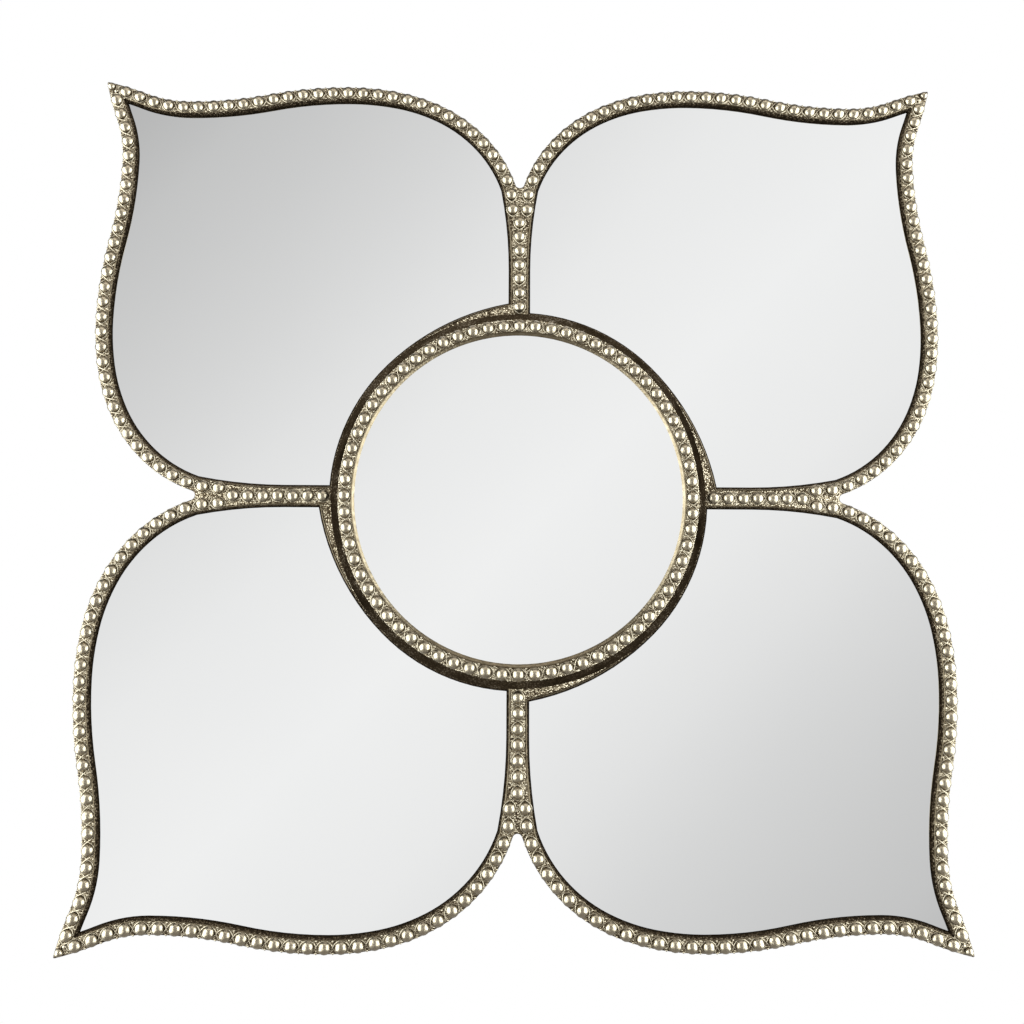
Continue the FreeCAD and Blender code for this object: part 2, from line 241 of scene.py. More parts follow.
def colourRamp(tree, factor, stops):
    ramp = addNode(tree, "ShaderNodeValToRGB", {"Fac": factor})
    elements = ramp.color_ramp.elements
    while len(elements) < len(stops):
        elements.new(1.0)
    for element, (place, colour) in zip(elements, stops):
        element.position = place
        element.color = (*colour, 1.0) if len(colour) == 3 else colour
    return ramp.outputs["Color"]


def grey(value):
    return (value, value, value)


def objectCoords(tree, scale=(1, 1, 1)):
    coords = addNode(tree, "ShaderNodeTexCoord")
    mapping = addNode(tree, "ShaderNodeMapping", {"Vector": coords.outputs["Object"],
                                                  "Scale": scale})
    return mapping.outputs["Vector"]


def noiseOf(tree, coords, scale, detail=3.0, roughness=0.5):
    noise = addNode(tree, "ShaderNodeTexNoise", {"Vector": coords, "Scale": scale,
                                                 "Detail": detail, "Roughness": roughness})
    return noise.outputs["Fac"]


def mathOf(tree, operation, first, second=0.0, third=0.0, clamp=False):
    node = addNode(tree, "ShaderNodeMath", {0: first, 1: second, 2: third}, operation=operation,
                   use_clamp=clamp)
    return node.outputs["Value"]


def alongOf(tree, value, pair, clamp=False):
    # pair is the change with the value, and the start
    return mathOf(tree, "MULTIPLY_ADD", value, pair[0], pair[1], clamp)


def addBump(tree, shader, height, settings):
    bump = addNode(tree, "ShaderNodeBump", {"Height": height, "Distance": settings["depth"],
                                            "Strength": settings["bump"]})
    tree.links.new(bump.outputs["Normal"], shader.inputs["Normal"])


def link(tree, output, shader, socket):
    tree.links.new(output, shader.inputs[socket])


def dotsOf(tree, coords, settings):
    # height of the fine dots pressed into the metal
    dots = addNode(tree, "ShaderNodeTexVoronoi", {"Vector": coords,
                                                  "Scale": settings["dotsPerMetre"],
                                                  "Randomness": settings["dotSpread"]})
    return mathOf(tree, "SUBTRACT", settings["dotTop"], dots.outputs["Distance"], clamp=True)


# in each material's settings a pair is a change with the pattern, and a start
ground = {
    "dotsPerMetre": 600,
    "dotSpread": 0.75,
    "dotTop": 0.62,
    "dotShare": 1.25,
    "patchesPerMetre": 38,
    "patch": (0.7, -0.34),
    "rough": (-0.14, 0.48),
    "depth": 0.0011,
    "bump": 0.75,
    "stops": [(0.0, (0.036, 0.025, 0.014)), (0.18, (0.165, 0.128, 0.079)),
              (0.40, (0.350, 0.296, 0.208)), (0.76, (0.520, 0.460, 0.358))],
}


def makeEmbossedSilver():
    # pressed ground between the beads: fine dots with dark hollows
    material, tree, shader = newMaterial("embossedSilver", Metallic=1.0)
    coords = objectCoords(tree)
    dots = dotsOf(tree, coords, ground)
    patches = noiseOf(tree, coords, ground["patchesPerMetre"], detail=4.0, roughness=0.6)
    patchShift = alongOf(tree, patches, ground["patch"])
    factor = mathOf(tree, "MULTIPLY_ADD", dots, ground["dotShare"], patchShift, clamp=True)
    link(tree, colourRamp(tree, factor, ground["stops"]), shader, "Base Color")
    link(tree, alongOf(tree, factor, ground["rough"]), shader, "Roughness")
    addBump(tree, shader, dots, ground)
    return material


relief = {
    "patchesPerMetre": 130,
    "patch": (0.60, -0.33),
    "rough": (-0.08, 0.41),
    "dentsPerMetre": 260,
    "depth": 0.00080,
    "bump": 0.7,
    "stops": [(0.0, (0.014, 0.009, 0.004)), (0.25, (0.058, 0.042, 0.024)),
              (0.60, (0.135, 0.106, 0.066)), (0.95, (0.250, 0.210, 0.148))],
}


def makeRubbedSilver():
    # raised work: worn bright on top, dark at its foot with patina in the crease and painted
    # contact shade
    material, tree, shader = newMaterial("rubbedSilver", Metallic=1.0)
    coords = objectCoords(tree)
    # the attribute brings real wear, and on the beads painted contact shade at the foot
    wearAndShade = addNode(tree, "ShaderNodeAttribute", attribute_name="wearAndShade").outputs["Fac"]
    patches = noiseOf(tree, coords, relief["patchesPerMetre"], detail=3.0, roughness=0.6)
    factor = mathOf(tree, "ADD", wearAndShade, alongOf(tree, patches, relief["patch"]), clamp=True)
    link(tree, colourRamp(tree, factor, relief["stops"]), shader, "Base Color")
    link(tree, alongOf(tree, factor, relief["rough"]), shader, "Roughness")
    addBump(tree, shader, noiseOf(tree, coords, relief["dentsPerMetre"]), relief)
    return material


innerWall = {
    "dotsPerMetre": 480.0,
    "dotSpread": 0.9,
    "dotTop": 0.60,
    "patchesPerMetre": 60,
    "worn": (2.4, -0.25),
    "leastWorn": 0.10,
    "metal": (1.8, -0.15),
    "rough": (0.2, 0.42),
    "depth": 0.0008,
    "bump": 0.7,
    "stops": [(0.0, (0.007, 0.005, 0.003)), (0.20, (0.095, 0.070, 0.042)),
              (0.60, (0.360, 0.300, 0.210))],
}


def makeDarkenedShadedWall():
    # sloping inner walls of the facing: black at the glass with painted shade down in the recess,
    # brown with worn specks at the brow
    material, tree, shader = newMaterial("darkenedShadedWall", Specular_IOR_Level=0.0)
    coords = objectCoords(tree)
    dots = dotsOf(tree, coords, innerWall)
    patches = noiseOf(tree, coords, innerWall["patchesPerMetre"], detail=4.0, roughness=0.65)
    depth = addNode(tree, "ShaderNodeSeparateXYZ", {"Vector": coords}).outputs["Y"]
    # painted shade: the whole wall darkens from the brow down to the glass
    level = addNode(tree, "ShaderNodeMapRange", {"Value": depth, "From Min": glassFront,
                                                 "From Max": facingFront}).outputs["Result"]
    worn = mathOf(tree, "MULTIPLY", dots, alongOf(tree, patches, innerWall["worn"], clamp=True))
    factor = mathOf(tree, "MULTIPLY", mathOf(tree, "ADD", worn, innerWall["leastWorn"]), level)
    link(tree, colourRamp(tree, factor, innerWall["stops"]), shader, "Base Color")
    link(tree, alongOf(tree, factor, innerWall["metal"], clamp=True), shader, "Metallic")
    link(tree, alongOf(tree, patches, innerWall["rough"]), shader, "Roughness")
    addBump(tree, shader, dots, innerWall)
    return material


ringSide = {
    "dotsPerMetre": 430.0,
    "dotSpread": 0.9,
    "dotTop": 0.60,
    "patchesPerMetre": 30,
    "worn": (1.5, -0.42),
    "wornShare": 0.3,
    "metal": (1.8, -0.30),
    "rough": (0.2, 0.26),
    "depth": 0.0008,
    "bump": 0.6,
    "stops": [(0.0, (0.018, 0.012, 0.006)), (0.20, (0.070, 0.051, 0.030)),
              (0.50, (0.320, 0.265, 0.185))],
}


def makeRingWall():
    # side of the raised ring: dark brown over silver, rubbed through in patches
    material, tree, shader = newMaterial("ringWall", Specular_IOR_Level=0.0)
    coords = objectCoords(tree)
    patches = noiseOf(tree, coords, ringSide["patchesPerMetre"], detail=5.0, roughness=0.6)
    dots = dotsOf(tree, coords, ringSide)
    worn = alongOf(tree, patches, ringSide["worn"], clamp=True)
    factor = mathOf(tree, "ADD", mathOf(tree, "MULTIPLY", dots, worn),
                    mathOf(tree, "MULTIPLY", worn, ringSide["wornShare"]))
    link(tree, colourRamp(tree, factor, ringSide["stops"]), shader, "Base Color")
    link(tree, alongOf(tree, factor, ringSide["metal"], clamp=True), shader, "Metallic")
    link(tree, alongOf(tree, patches, ringSide["rough"]), shader, "Roughness")
    addBump(tree, shader, dots, ringSide)
    return material


mirror = {
    "hazePerMetre": 5,
    "rough": (0.012, 0.006),
    "stops": [(0.2, (0.918, 0.926, 0.926)), (0.8, (0.934, 0.940, 0.938))],
}


def makeMirrorGlass():
    material, tree, shader = newMaterial("mirrorGlass", Metallic=1.0)
    haze = noiseOf(tree, objectCoords(tree), mirror["hazePerMetre"], detail=2.0)
    link(tree, colourRamp(tree, haze, mirror["stops"]), shader, "Base Color")
    link(tree, alongOf(tree, haze, mirror["rough"]), shader, "Roughness")
    return material


wood = {
    "coat": 0.15,
    "coatRough": 0.35,
    "noise": 2.0,
    "grain": (9, 60, 160),      # how much finer the noise is along each axis
    "pores": (40, 500, 900),
    "poreShare": 0.5,
    "rough": (0.25, 0.40),
    "depth": 0.0004,
    "bump": 0.5,
    "stops": [(0.30, (0.020, 0.012, 0.008)), (0.52, (0.050, 0.030, 0.018)),
              (0.75, (0.095, 0.058, 0.034))],
}


def makeStainedWood():
    material, tree, shader = newMaterial("stainedWood", Coat_Weight=wood["coat"],
                                         Coat_Roughness=wood["coatRough"])
    grainCoords, poreCoords = [objectCoords(tree, wood[name]) for name in ("grain", "pores")]
    grain = noiseOf(tree, grainCoords, wood["noise"], detail=6.0, roughness=0.65)
    pores = noiseOf(tree, poreCoords, wood["noise"], detail=2.0)
    link(tree, colourRamp(tree, grain, wood["stops"]), shader, "Base Color")
    link(tree, alongOf(tree, grain, wood["rough"]), shader, "Roughness")
    height = mathOf(tree, "ADD", grain, mathOf(tree, "MULTIPLY", pores, wood["poreShare"]))
    addBump(tree, shader, height, wood)
    return material


backs = {
    "fibreStretch": (1.0, 1.0, 1.6),
    "fibresPerMetre": 420,
    "fibreShare": 0.6,
    "cloudsPerMetre": 9,
    "cloudShare": 0.4,
    "rough": (0.2, 0.48),
    "depth": 0.0003,
    "bump": 0.5,
    "stops": [(0.32, (0.150, 0.088, 0.045)), (0.52, (0.250, 0.155, 0.082)),
              (0.70, (0.330, 0.215, 0.120))],
}


def makeHardboard():
    material, tree, shader = newMaterial("hardboard")
    fibreCoords = objectCoords(tree, backs["fibreStretch"])
    fibres = noiseOf(tree, fibreCoords, backs["fibresPerMetre"], detail=4.0, roughness=0.7)
    clouds = noiseOf(tree, objectCoords(tree), backs["cloudsPerMetre"], detail=4.0, roughness=0.6)
    factor = mathOf(tree, "ADD", mathOf(tree, "MULTIPLY", fibres, backs["fibreShare"]),
                    mathOf(tree, "MULTIPLY", clouds, backs["cloudShare"]))
    link(tree, colourRamp(tree, factor, backs["stops"]), shader, "Base Color")
    link(tree, alongOf(tree, fibres, backs["rough"]), shader, "Roughness")
    addBump(tree, shader, fibres, backs)
    return material


filler = {
    "cellsPerMetre": 260.0,
    "rough": 0.6,
    "depth": 0.0006,
    "bump": 0.5,
    "stops": [(0.0, (0.84, 0.84, 0.83)), (0.7, (0.66, 0.66, 0.65))],
}


def makeFillerBoard():
    material, tree, shader = newMaterial("fillerBoard", Roughness=filler["rough"])
    cells = addNode(tree, "ShaderNodeTexVoronoi", {"Vector": objectCoords(tree),
                                                   "Scale": filler["cellsPerMetre"]})
    distance = cells.outputs["Distance"]
    link(tree, colourRamp(tree, distance, filler["stops"]), shader, "Base Color")
    addBump(tree, shader, distance, filler)
    return material


zinc = {
    "crystalsPerMetre": 300.0,
    "noise": 2.0,
    "brush": (60, 60, 1500),
    "rough": (0.22, 0.22),
    "depth": 0.00008,
    "bump": 0.4,
    "stops": [(0.0, (0.66, 0.67, 0.69)), (0.9, (0.50, 0.51, 0.54))],
}


def makeZincSteel():
    material, tree, shader = newMaterial("zincSteel", Metallic=1.0)
    crystals = addNode(tree, "ShaderNodeTexVoronoi", {"Vector": objectCoords(tree),
                                                      "Scale": zinc["crystalsPerMetre"]})
    brushed = noiseOf(tree, objectCoords(tree, zinc["brush"]), zinc["noise"], detail=2.0)
    colour = colourRamp(tree, crystals.outputs["Distance"], zinc["stops"])
    link(tree, colour, shader, "Base Color")
    link(tree, alongOf(tree, brushed, zinc["rough"]), shader, "Roughness")
    addBump(tree, shader, brushed, zinc)
    return material


rubber = {
    "grainPerMetre": 1400,
    "rough": 0.62,
    "depth": 0.00015,
    "bump": 0.6,
    "stops": [(0.3, grey(0.018)), (0.8, grey(0.040))],
}


def makeRubber():
    material, tree, shader = newMaterial("softRubber", Roughness=rubber["rough"])
    grain = noiseOf(tree, objectCoords(tree), rubber["grainPerMetre"])
    link(tree, colourRamp(tree, grain, rubber["stops"]), shader, "Base Color")
    addBump(tree, shader, grain, rubber)
    return material


embossedSilver = makeEmbossedSilver()
rubbedSilver = makeRubbedSilver()
darkenedShadedWall = makeDarkenedShadedWall()
ringWall = makeRingWall()
mirrorGlass = makeMirrorGlass()
stainedWood = makeStainedWood()
hardboard = makeHardboard()
fillerBoard = makeFillerBoard()
zincSteel = makeZincSteel()
softRubber = makeRubber()
print("materials made")

nodeMaterials = {
    "frame_core": stainedWood, "ring_riser": ringWall, "centre_glass": mirrorGlass,
    "glazing_points": zincSteel, "ring_screws": zincSteel, "hanger_screws": zincSteel,
    "petal_glass_": mirrorGlass, "petal_filler_": fillerBoard, "petal_back_": hardboard,
    "hanger_strap_": zincSteel, "hanger_ring_": zincSteel, "wall_bumper_": softRubber,
    "hub_facing": embossedSilver, "petal_facing_": embossedSilver, "ring_facing": embossedSilver,
    "stem_beading": rubbedSilver, "ring_beading": rubbedSilver, "petal_beading_": rubbedSilver,
}
for nodeName, node in nodes.items():
    node.data.materials.clear()
    for start, material in nodeMaterials.items():
        if nodeName.startswith(start):
            node.data.materials.append(material)


bead = {
    "sides": 14,
    "footShare": 0.97,          # of the CAD bead's radius: the braid goes round it
    "tiers": [(1.00, 0.00), (0.97, 0.26), (0.86, 0.52), (0.64, 0.77), (0.34, 0.94), (0, 1.0)],
    "skirt": 0.0015,            # goes this deep into the facing, whose edges are rounded
    "pelletSides": 7,
    "pelletTiers": [(1.00, 0.00), (0.80, 0.62), (0, 1.0)],
    "wobble": 0.00025,          # hand-pressed beads are never quite in line
    "sizeSpread": 0.03,
    "footPatinaAndShade": 0.06,
    "patinaAndShadeFade": 2.6,            # the foot's patina and painted contact shade give way to full wear low on the bead
    "rowFrom": 0.005,           # beads of a smaller radius stand outside the rows
}


def makeBead(radius, rise, sides, tiers):
    skirt = bead["skirt"]
    rings = [(radius, 0)] + [(radius * width, skirt + rise * height) for width, height in tiers]
    piece = raiseTiers(sides, rings, centre=(0, skirt, 0))
    bpy.ops.object.shade_smooth()
    # painted contact shade: the bead is darker at its foot, partly patina in the crease, and
    # lighter towards its worn top
    lowest, growth = bead["footPatinaAndShade"], bead["patinaAndShadeFade"]
    setWearAndShade(piece, lambda place: max(0.0, min(1.0, lowest + growth * -place.y / rise)))
    return piece


def beadPlaces(nodeName):
    # centre of the foot, radius and rise of each bead of a CAD node
    places = []
    for island in islandsOf(nodeName):
        top = min(island, key=lambda place: place.y)
        foot = max(place.y for place in island)
        radius = max(math.hypot(place.x - top.x, place.z - top.z) for place in island)
        places.append((Vector((top.x, foot, top.z)), radius, foot - top.y))
    return places


def placeBeads(places):
    # a copy of the one modelled bead on each place
    models = {}
    copies = []
    for place, radius, rise in places:
        key = round(radius, 4)
        if key not in models:
            models[key] = makeBead(radius * bead["footShare"], rise, bead["sides"], bead["tiers"])
        shift = Vector((random.uniform(-1, 1), 0, random.uniform(-1, 1))) * bead["wobble"]
        size = 1 - random.random() * bead["sizeSpread"]
        copies.append(copyTo(models[key], place + shift, size))
    for model in models.values():
        bpy.data.objects.remove(model)
    return copies


braid = {
    "strand": 0.00085,          # radius of a strand
    "roundness": 1,
    "wearAndShade": 0.95,
    "reachShare": 0.92,         # of the CAD bead's radius, from the row to a strand at its widest
    "fullness": 0.75,           # below 1 the loops are rounder than a sine
    "steps": 8,                 # points per bead
    "pelletRadius": 0.0013,
    "pelletRise": 0.0011,
    "pelletShare": 0.84,        # of the bead's radius, from the row to a pellet
}


def strandPoints(centres, reach, sign, closed):
    # one strand of the braid that passes each bead on alternate sides
    count = len(centres)
    points = []
    steps = braid["steps"]
    first, last = (0, count * steps) if closed else (-steps // 2, (count - 1) * steps + steps // 2)
    for step in range(first, last + (0 if closed else 1)):
        along = step / steps
        index = math.floor(along)
        if closed:
            before, after = centres[index % count], centres[(index + 1) % count]
        else:
            index = max(0, min(count - 2, index))
            before, after = centres[index], centres[index + 1]
        run = after - before
        across = Vector((-run.z, 0, run.x)).normalized()
        wave = math.cos(math.pi * along)
        offset = sign * reach * math.copysign(abs(wave) ** braid["fullness"], wave)
        points.append(before + run * (along - index) + across * offset)
    return points


def makeBraid(centres, reach, closed=False):
    curve = bpy.data.curves.new("strands", "CURVE")
    curve.dimensions = "3D"
    curve.bevel_depth = braid["strand"]
    curve.bevel_resolution = braid["roundness"]
    for sign in (-1, 1):
        points = strandPoints(centres, reach, sign, closed)
        spline = curve.splines.new("POLY")
        spline.points.add(len(points) - 1)
        for item, place in zip(spline.points, points):
            item.co = (*place, 1.0)
        spline.use_cyclic_u = closed
    piece = bpy.data.objects.new("strands", curve)
    bpy.context.scene.collection.objects.link(piece)
    makeActive(piece)
    bpy.ops.object.convert(target="MESH")
    piece = bpy.context.object
    bpy.ops.object.shade_smooth()
    setWearAndShade(piece, braid["wearAndShade"])
    return piece


def makePellet():
    return makeBead(braid["pelletRadius"], braid["pelletRise"], bead["pelletSides"],
                    bead["pelletTiers"])


def makePellets(centres, reach, closed=False):
    # little drops in the gaps on both sides of the braid's crossings
    model = makePellet()
    pairs = list(zip(centres, centres[1:] + centres[:1]))
    if not closed:
        pairs = pairs[:-1]
    copies = []
    for before, after in pairs:
        run = after - before
        across = Vector((-run.z, 0, run.x)).normalized()
        for side in (-1, 1):
            copies.append(copyTo(model, (before + after) / 2 + across * side * reach))
    bpy.data.objects.remove(model)
    return copies


# more drops round a petal's last beads: from its tip, off its axis, size
tipDrops = [(0.0166, 0.0, 2.0), (0.0152, 0.0056, 1.0), (0.0152, -0.0056, 1.0), (0.0282, 0.0, 1.0)]


def makeTipDrops(nodeName):
    low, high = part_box(nodeName.replace("_beading", "_facing"))
    tip = Vector((max(low.x, high.x, key=abs), facingFront, max(low.z, high.z, key=abs)))
    inward = Vector((-tip.x, 0, -tip.z)).normalized()
    aside = Vector((inward.z, 0, -inward.x))
    model = makePellet()
    copies = [copyTo(model, tip + inward * along + aside * across, size)
              for along, across, size in tipDrops]
    bpy.data.objects.remove(model)
    return copies


def makeTrim(nodeName, rows, slotName="antique_silver"):
    # rows is a list of (bead centres in order, closed)
    places = beadPlaces(nodeName)
    parts = placeBeads(places)
    largest = max(radius for place, radius, rise in places)
    for centres, closed in rows:
        parts.append(makeBraid(centres, largest * braid["reachShare"], closed))
        parts += makePellets(centres, largest * braid["pelletShare"], closed)
    if nodeName.startswith("petal"):
        parts += makeTipDrops(nodeName)
    piece = joinPieces(parts, nodeName.replace("_beading", "_trim"))
    onlyMaterial(piece, rubbedSilver)
    finishPiece(piece, "frame", slotName, nodeName)
    return piece


def petalRows(nodeName):
    large = [place for place, radius, rise in beadPlaces(nodeName) if radius > bead["rowFrom"]]
    upper = [place for place in large if abs(place.z) > abs(place.x)]
    lower = [place for place in large if abs(place.z) < abs(place.x)]
    upper.sort(key=lambda place: abs(place.x))
    lower.sort(key=lambda place: abs(place.z))
    return [(upper, False), (lower, False)]


stem = {
    "from": 0.1,                # the stems' beads lie at least this far from the middle
    "aside": 0.002,             # beads nearer to the stem's line are the single row
}


def stemRows():
    rows = []
    centres = [place for place, radius, rise in beadPlaces("stem_beading")]
    for axis in (Vector((0, 0, 1)), Vector((1, 0, 0)), Vector((0, 0, -1)), Vector((-1, 0, 0))):
        side = Vector((axis.z, 0, -axis.x))
        mine = [place for place in centres if place.dot(axis) > stem["from"]]
        mine.sort(key=lambda place: place.dot(axis))
        aside = stem["aside"]
        for low, high in ((-aside, aside), (aside, math.inf), (-math.inf, -aside)):
            rows.append(([place for place in mine if low < place.dot(side) <= high], False))
    return rows


def ringRow():
    centres = [place for place, radius, rise in beadPlaces("ring_beading")]
    return [(sorted(centres, key=lambda place: math.atan2(place.z, place.x)), True)]


for petal in petals:
    makeTrim("petal_beading_" + petal, petalRows("petal_beading_" + petal))
makeTrim("stem_beading", stemRows())
makeTrim("ring_beading", ringRow())
print("beads, braid and pellets made")


facing = {
    "edgeRound": 0.0018,
    "tipRound": 0.0026,
    "tipFrom": 0.4568,          # the tips' edges lie this far out, both ways
    "roundSteps": 3,
    "wearAndShade": 0.5,
    "ringWear": 0.62,
    "lip": 0.0007,              # radius of the raised line along the brow of the inner walls
    "lipWear": 0.42,
    "hubLipFrom": 0.1985,       # nearer the middle the brow lies under the ring's foot
    "ringLipTo": 0.1760,        # only the ring's inner brow has the line
    "ringLip": 0.0009,
    "seamFrom": 0.336,          # the seams of the forks lie this far from the middle
    "seamTo": 0.344,
    "seamLength": 0.012,
    "seamLongest": 1.3,         # of that length
}


faceLean = {"front": -0.99, "steep": -0.2, "shallow": -0.95}   # share of a normal along Y


def faceKind(face):
    if face.normal.y < faceLean["front"]:
        return "front"
    if faceLean["shallow"] < face.normal.y < faceLean["steep"]:
        return "slope"
    return "other"


def fromMiddle(edge):
    middle = (edge.verts[0].co + edge.verts[1].co) / 2
    return math.hypot(middle.x, middle.z)


def isTip(edge):
    return all(min(abs(vertex.co.x), abs(vertex.co.z)) > facing["tipFrom"] for vertex in edge.verts)


def isFrontEdge(edge):
    kinds = [faceKind(face) for face in edge.link_faces]
    atSeam = facing["seamFrom"] < fromMiddle(edge) < facing["seamTo"]
    shortest = facing["seamLength"]
    if atSeam and shortest < edge.calc_length() < facing["seamLongest"] * shortest:
        return False
    return kinds.count("front") == 1


def makeLip(piece, thickness, test):
    # raised line along the edges between the front and the sloping walls
    shape = editing(piece)
    bpy.ops.mesh.select_mode(type="EDGE")
    bpy.ops.mesh.select_all(action="DESELECT")
    for edge in shape.edges:
        if {faceKind(face) for face in edge.link_faces} == {"front", "slope"} and test(edge):
            edge.select_set(True)
    bpy.ops.mesh.duplicate()
    bpy.ops.mesh.separate(type="SELECTED")
    stopEditing()
    lip = [other for other in bpy.context.selected_objects if other != piece][0]
    makeActive(lip)
    bpy.ops.object.convert(target="CURVE")
    lip = bpy.context.object
    lip.data.bevel_depth = thickness
    lip.data.bevel_resolution = 2
    bpy.ops.object.convert(target="MESH")
    lip = bpy.context.object
    bpy.ops.object.shade_smooth()
    setWearAndShade(lip, facing["lipWear"])
    onlyMaterial(lip, rubbedSilver)
    return lip


def makeFacing(nodeName, thickness=facing["lip"], lipTest=lambda edge: True, wall=darkenedShadedWall,
               wearAndShade=facing["wearAndShade"]):
    piece = copyOfNode(nodeName, nodeName + "_pressed")
    lip = makeLip(piece, thickness, lipTest)
    bevelWhere(piece, isTip, facing["tipRound"], facing["roundSteps"])
    bevelWhere(piece, isFrontEdge, facing["edgeRound"], facing["roundSteps"])
    for material in (embossedSilver, wall, rubbedSilver):
        piece.data.materials.append(material)
    for face in piece.data.polygons:
        if faceKind(face) == "slope":
            inRing = math.hypot(face.center.x, face.center.z) < facing["ringLipTo"]
            face.material_index = 2 if inRing else 1
    setWearAndShade(piece, wearAndShade)
    smooth(piece, angle=35)
    piece = joinPieces([piece, lip], nodeName + "_pressed")
    finishPiece(piece, "frame", "antique_silver", nodeName)
    return piece


for petal in petals:
    makeFacing("petal_facing_" + petal)
makeFacing("hub_facing", lipTest=lambda edge: fromMiddle(edge) > facing["hubLipFrom"])
makeFacing("ring_facing", facing["ringLip"], lambda edge: fromMiddle(edge) < facing["ringLipTo"],
           ringWall, facing["ringWear"])
print("facings made")


# by how a node's name starts: edge round, whether its outline is curved, material, slot
boards = {
    "frame_core": (0.0007, True, stainedWood, "frame_wood"),
    "petal_back_": (0.0004, True, hardboard, "back_board"),
    "petal_filler_": (0.0006, False, fillerBoard, "filler_board"),
    "petal_glass_": (0.0003, True, mirrorGlass, "mirror_glass"),
}
chord = {
    "longest": 0.0060,          # shorter edges of an outline stay as they are
    "sharpest": math.radians(32),
    "cuts": 3,
    "upright": 0.01,            # most that an upright side's normal leans along Y
}


def isChord(edge):
    # a long edge of a board's outline, between a flat side and an upright one
    upright = [face for face in edge.link_faces if abs(face.normal.y) < chord["upright"]]
    return isLevel(edge) and len(upright) == 1 and edge.calc_length() > chord["longest"]


def headingAt(vertex, edge):
    # direction of the curve where it passes a corner of the outline
    ahead = (edge.other_vert(vertex).co - vertex.co).normalized()
    for other in vertex.link_edges:
        if other != edge and isChord(other):
            behind = (vertex.co - other.other_vert(vertex).co).normalized()
            if ahead.angle(behind) < chord["sharpest"]:
                return (ahead + behind).normalized()
    return ahead


def pastChord(place, run):
    # how far a place is off a straight run
    start, end = run[:2]
    return (start - place).length + (end - place).length - (end - start).length


def curveOutline(piece):
    # the straight chords of a board's outline become curves through the same corners
    shape = editing(piece)
    chords = [edge for edge in shape.edges if isChord(edge)]
    runs = []
    for edge in chords:
        start, end = edge.verts
        runs.append((start.co.copy(), end.co.copy(), headingAt(start, edge), -headingAt(end, edge)))
    made = bmesh.ops.subdivide_edges(shape, edges=chords, cuts=chord["cuts"], use_grid_fill=True)
    for vertex in [item for item in made["geom_inner"] if isinstance(item, bmesh.types.BMVert)]:
        place = vertex.co.copy()
        start, end, leave, arrive = min(runs, key=lambda run: pastChord(place, run))
        length = (end - start).length
        share = (place - start).length / length
        bend = (leave * (1 - share) - arrive * share) * share * (1 - share) * length
        bend -= (end - start) * (1 - 2 * share) * share * (1 - share)
        vertex.co = place + bend
    bmesh.update_edit_mesh(piece.data)
    stopEditing()


def makeBoard(nodeName, edgeRound, curved, material, slotName):
    piece = copyOfNode(nodeName, nodeName + "_board")
    if curved:
        curveOutline(piece)
    bevelWhere(piece, isTip, facing["tipRound"], facing["roundSteps"])
    bevelWhere(piece, lambda edge: isSharp(edge) and isLevel(edge), edgeRound)
    onlyMaterial(piece, material)
    smooth(piece, angle=30)
    finishPiece(piece, "frame", slotName, nodeName)


for start, settings in boards.items():
    for nodeName in [name for name in nodes if name.startswith(start)]:
        makeBoard(nodeName, *settings)
print("boards made")


screw = {
    "sides": 28,
    "recessReach": 0.0019,
    "recessWidth": 0.00055,
    "recessDepth": 0.0011,
    "point": 0.00008,           # least radius
    "flatHead": [(0, 1.0), (0.0014, 0.70), (0.0015, 0.12), (0.0030, 0.02), (0.0031, 0.0)],
    "panHead": [(0, 1.0), (0.0014, 0.70), (0.0015, 0.17), (0.0031, 0.165), (0.0031, 0.07),
                (0.0027, 0.02), (0.0018, 0.0)],
}


def cutRecess(piece, faceY):
    # cross recess, one bar of the cross at a time
    for turn in (0, math.pi / 2):
        deselectAll()
        halves = (screw["recessReach"], screw["recessDepth"], screw["recessWidth"] / 2)
        bpy.ops.mesh.primitive_cube_add(size=2, location=(0, faceY, 0), scale=halves,
                                        rotation=(0, turn + math.pi / 4, 0))
        bar = bpy.context.object
        makeActive(piece)
        cut = piece.modifiers.new("recess", "BOOLEAN")
        cut.operation = "DIFFERENCE"
        cut.object = bar
        bpy.ops.object.modifier_apply(modifier="recess")
        bpy.data.objects.remove(bar)


def makeScrews(nodeName, profile, body="frame"):
    islands = islandsOf(nodeName)
    face = max(place.y for place in islands[0])
    length = face - min(place.y for place in islands[0])
    tiers = [(max(radius, screw["point"]), length * (1 - share)) for radius, share in profile]
    model = raiseTiers(screw["sides"], tiers, way=1)
    cutRecess(model, length)
    smooth(model, angle=35)
    copies = []
    for island in islands:
        middle = sum(island, Vector()) / len(island)
        place = Vector((middle.x, face - length, middle.z))
        copy = copyTo(model, (0, 0, 0))
        spin = Matrix.Rotation(random.uniform(0, math.pi), 4, "Y")
        copy.data.transform(Matrix.Translation(place) @ spin)
        copies.append(copy)
    bpy.data.objects.remove(model)
    piece = joinPieces(copies, nodeName + "_made")
    onlyMaterial(piece, zincSteel)
    finishPiece(piece, body, "steel", nodeName)


makeScrews("ring_screws", screw["flatHead"])
makeScrews("hanger_screws", screw["panHead"])


hanger = {
    "loopRadius": 0.00258,
    "wire": 0.00128,
    "roundness": 4,
    "halfWidth": 0.0113,
    "drop": 0.0150,
    "upperRound": 0.0022,
    "lowerRound": 0.0048,
    "lean": math.radians(3),
    "strapRound": 0.00025,
}


def roundedLoop(corners, rounds, steps=6):
    # places along a closed outline whose corners are rounded
    path = []
    for index, corner in enumerate(corners):
        before = (corners[index - 1] - corner).normalized() * rounds[index]
        after = (corners[(index + 1) % len(corners)] - corner).normalized() * rounds[index]
        centre = corner + before + after
        for step in range(steps + 1):
            angle = math.pi / 2 * step / steps
            path.append(centre - after * math.cos(angle) - before * math.sin(angle))
    return path


